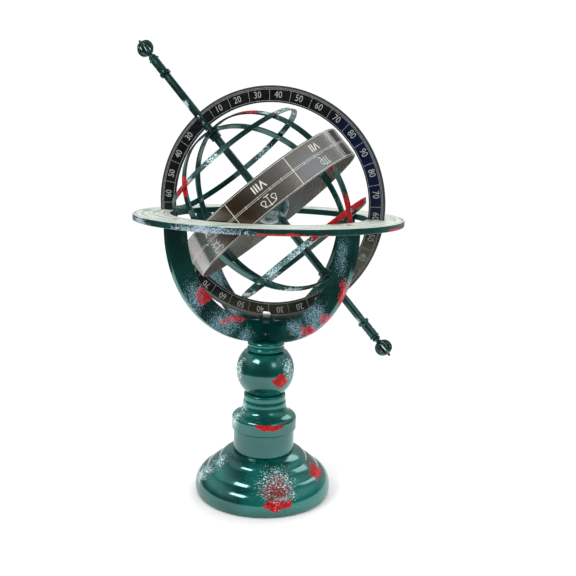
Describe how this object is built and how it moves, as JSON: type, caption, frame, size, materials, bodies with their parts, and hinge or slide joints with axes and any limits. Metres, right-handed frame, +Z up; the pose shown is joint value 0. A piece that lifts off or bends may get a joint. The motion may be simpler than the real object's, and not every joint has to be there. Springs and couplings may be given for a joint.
{
  "type": "armillary sphere",
  "caption": "Tabletop armillary sphere: ringed sphere turning on a tilted polar axle inside a sliding meridian ring, with a horizon ring and cradle on a turned pedestal.",
  "frame": {"origin": "middle of the felt face that the foot stands on, under the pedestal's axis", "axes": "+Z up; the meridian ring stands in the XZ plane; the north end of the polar axle points up towards -X; -Y is the front, where the scale of the meridian ring is read"},
  "size_m": [0.2738, 0.2674, 0.4582],
  "materials": {
    "pedestal_enamel": "glossy dark teal enamel over turned wood, distressed with white and red sponged patches",
    "strap_enamel": "glossy dark teal enamel, worn to white and red in patches",
    "horizon_enamel": "pale cream-green top with fine engraved circles, dark teal rim and underside",
    "gunmetal": "satin gunmetal with pale engraved scale",
    "antique_silver": "antiqued silver with pale engraved figures",
    "blackened_steel": "blackened steel, worn pale on the edges",
    "steel": "plain steel",
    "globe_enamel": "glossy blue and green enamel",
    "felt": "dark green felt"
  },
  "bodies": {
    "stand": {"felt_pad": "felt", "foot": "pedestal_enamel", "drum": "pedestal_enamel", "bell": "pedestal_enamel", "ball_knop": "pedestal_enamel", "neck_collar": "pedestal_enamel", "tie_washer": "steel", "tie_nut": "steel", "tie_rod": "steel", "cradle_hoop_lower": "strap_enamel", "cradle_hoop_upper": "strap_enamel", "cradle_lock_screw": "steel", "meridian_saddle": "blackened_steel", "horizon_ring": "horizon_enamel", "horizon_screw_1": "steel", "horizon_screw_2": "steel", "horizon_screw_3": "steel", "horizon_screw_4": "steel"},
    "meridian": {"meridian_ring": "gunmetal", "polar_axle": "blackened_steel", "north_rod": "blackened_steel", "north_finial_stem": "blackened_steel", "north_finial_cage": "blackened_steel", "north_axle_collar": "blackened_steel", "south_rod": "blackened_steel", "south_finial_stem": "blackened_steel", "south_finial_cage": "blackened_steel", "south_axle_collar": "blackened_steel", "fork_pin_1": "steel", "fork_pin_2": "steel", "fork_pin_3": "steel", "fork_pin_4": "steel", "earth_globe": "globe_enamel"},
    "sphere": {"sphere_rib_1": "strap_enamel", "sphere_rib_2": "strap_enamel", "sphere_rib_3": "strap_enamel", "sphere_rib_4": "strap_enamel", "zodiac_rivet_1": "steel", "zodiac_rivet_2": "steel", "zodiac_rivet_3": "steel", "zodiac_rivet_4": "steel", "north_parallel_rivet_1": "steel", "north_parallel_rivet_2": "steel", "north_parallel_rivet_3": "steel", "north_parallel_rivet_4": "steel", "south_parallel_rivet_1": "steel", "south_parallel_rivet_2": "steel", "south_parallel_rivet_3": "steel", "south_parallel_rivet_4": "steel", "north_pole_boss": "blackened_steel", "south_pole_boss": "blackened_steel", "north_parallel": "strap_enamel", "south_parallel": "strap_enamel", "zodiac_band": "antique_silver"}
  },
  "joints": [
    {"name": "latitude_slide", "type": "hinge", "parent": "stand", "child": "meridian", "pos_m": [0, 0, 0.3011], "axis": [0, 1, 0], "range_deg": [-33.5, 23.5]},
    {"name": "polar_spin", "type": "hinge", "parent": "meridian", "child": "sphere", "pos_m": [0, 0, 0.3011], "axis": [-0.6626, 0, 0.749], "continuous": true}
  ]
}
